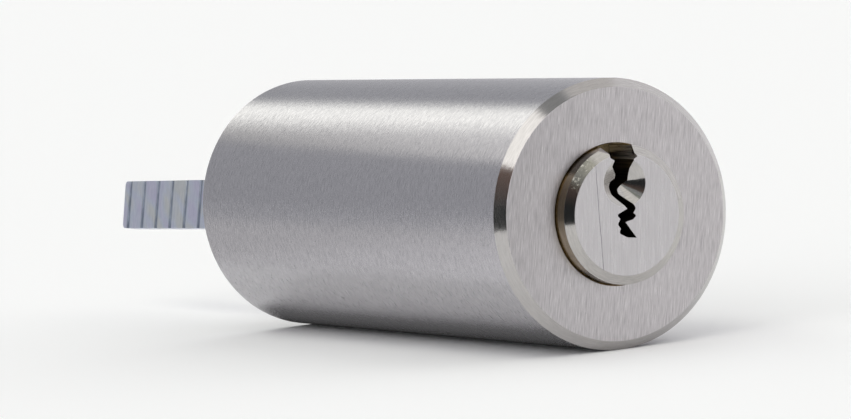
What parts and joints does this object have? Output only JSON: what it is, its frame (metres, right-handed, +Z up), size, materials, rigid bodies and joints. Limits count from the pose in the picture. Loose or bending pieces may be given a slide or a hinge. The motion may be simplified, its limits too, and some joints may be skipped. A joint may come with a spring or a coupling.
{
  "type": "rim lock cylinder",
  "caption": "Round pin-tumbler rim lock cylinder in satin nickel, with a proud plug, serpentine keyway and a flat snap-off tail bar.",
  "frame": {"origin": "centre of the rear mounting face, between the two tapped holes for the fixing screws", "axes": "+Y along the cylinder's axis from the key face to the tail bar, +Z up, to the open top of the keyway where the pins stand, +X to the right as seen by someone facing the key face"},
  "size_m": [0.029, 0.1205, 0.029],
  "materials": {
    "satin_nickel_brass": "satin nickel plated brass, brushed",
    "brass": "turned",
    "nickel_silver": "turned",
    "spring_steel": "plain drawn wire or blued strip",
    "hardened_steel": "ground",
    "zinc_plated_steel": "bright zinc plated"
  },
  "bodies": {
    "housing": {"housing": "satin_nickel_brass", "chamber_caps": "satin_nickel_brass", "housing_drill_pins": "hardened_steel", "guide_bush": "brass", "rear_circlip": "spring_steel", "driver_spring_1": "spring_steel", "driver_spring_2": "spring_steel", "driver_spring_3": "spring_steel", "driver_spring_4": "spring_steel", "driver_spring_5": "spring_steel", "driver_spring_6": "spring_steel"},
    "plug": {"plug": "satin_nickel_brass", "plug_circlip": "spring_steel", "plug_drill_pins": "hardened_steel"},
    "drive_shaft": {"drive_shaft": "zinc_plated_steel", "tail_pin": "hardened_steel"},
    "tail_bar": {"tail_bar": "zinc_plated_steel"},
    "key_pin_1": {"key_pin_1": "brass"},
    "driver_pin_1": {"driver_pin_1": "nickel_silver"},
    "key_pin_2": {"key_pin_2": "brass"},
    "driver_pin_2": {"driver_pin_2": "nickel_silver"},
    "key_pin_3": {"key_pin_3": "brass"},
    "driver_pin_3": {"driver_pin_3": "nickel_silver"},
    "key_pin_4": {"key_pin_4": "brass"},
    "driver_pin_4": {"driver_pin_4": "nickel_silver"},
    "key_pin_5": {"key_pin_5": "brass"},
    "driver_pin_5": {"driver_pin_5": "nickel_silver"},
    "key_pin_6": {"key_pin_6": "brass"},
    "driver_pin_6": {"driver_pin_6": "nickel_silver"}
  },
  "joints": [
    {"name": "plug_turn", "type": "hinge", "parent": "housing", "child": "plug", "pos_m": [0, 0, 0], "axis": [0, 1, 0], "continuous": true},
    {"name": "coupling_play", "type": "hinge", "parent": "plug", "child": "drive_shaft", "pos_m": [0, 0, 0], "axis": [0, 1, 0], "range_deg": [-20, 0]},
    {"name": "tail_tilt", "type": "hinge", "parent": "drive_shaft", "child": "tail_bar", "pos_m": [0, -0.01, 0], "axis": [0.9848, 0, -0.1736], "range_deg": [0, 2.7]},
    {"name": "key_pin_1_drop", "type": "slide", "parent": "plug", "child": "key_pin_1", "axis": [0, 0, 1], "range_m": [-0.002, 0]},
    {"name": "driver_pin_1_lift", "type": "slide", "parent": "housing", "child": "driver_pin_1", "axis": [0, 0, 1], "range_m": [0, 0.0015], "stiffness_N_per_m": 150, "springref_m": -0.002, "deforming": ["driver_spring_1"]},
    {"name": "key_pin_2_drop", "type": "slide", "parent": "plug", "child": "key_pin_2", "axis": [0, 0, 1], "range_m": [-0.001, 0]},
    {"name": "driver_pin_2_lift", "type": "slide", "parent": "housing", "child": "driver_pin_2", "axis": [0, 0, 1], "range_m": [0, 0.0025], "stiffness_N_per_m": 150, "springref_m": -0.002, "deforming": ["driver_spring_2"]},
    {"name": "key_pin_3_drop", "type": "slide", "parent": "plug", "child": "key_pin_3", "axis": [0, 0, 1], "range_m": [-0.0025, 0]},
    {"name": "driver_pin_3_lift", "type": "slide", "parent": "housing", "child": "driver_pin_3", "axis": [0, 0, 1], "range_m": [0, 0.001], "stiffness_N_per_m": 150, "springref_m": -0.002, "deforming": ["driver_spring_3"]},
    {"name": "key_pin_4_drop", "type": "slide", "parent": "plug", "child": "key_pin_4", "axis": [0, 0, 1], "range_m": [-0.0005, 0]},
    {"name": "driver_pin_4_lift", "type": "slide", "parent": "housing", "child": "driver_pin_4", "axis": [0, 0, 1], "range_m": [0, 0.003], "stiffness_N_per_m": 150, "springref_m": -0.002, "deforming": ["driver_spring_4"]},
    {"name": "key_pin_5_drop", "type": "slide", "parent": "plug", "child": "key_pin_5", "axis": [0, 0, 1], "range_m": [-0.0015, 0]},
    {"name": "driver_pin_5_lift", "type": "slide", "parent": "housing", "child": "driver_pin_5", "axis": [0, 0, 1], "range_m": [0, 0.002], "stiffness_N_per_m": 150, "springref_m": -0.002, "deforming": ["driver_spring_5"]},
    {"name": "key_pin_6_drop", "type": "slide", "parent": "plug", "child": "key_pin_6", "axis": [0, 0, 1], "range_m": [-0.0025, 0]},
    {"name": "driver_pin_6_lift", "type": "slide", "parent": "housing", "child": "driver_pin_6", "axis": [0, 0, 1], "range_m": [0, 0.001], "stiffness_N_per_m": 150, "springref_m": -0.002, "deforming": ["driver_spring_6"]}
  ]
}
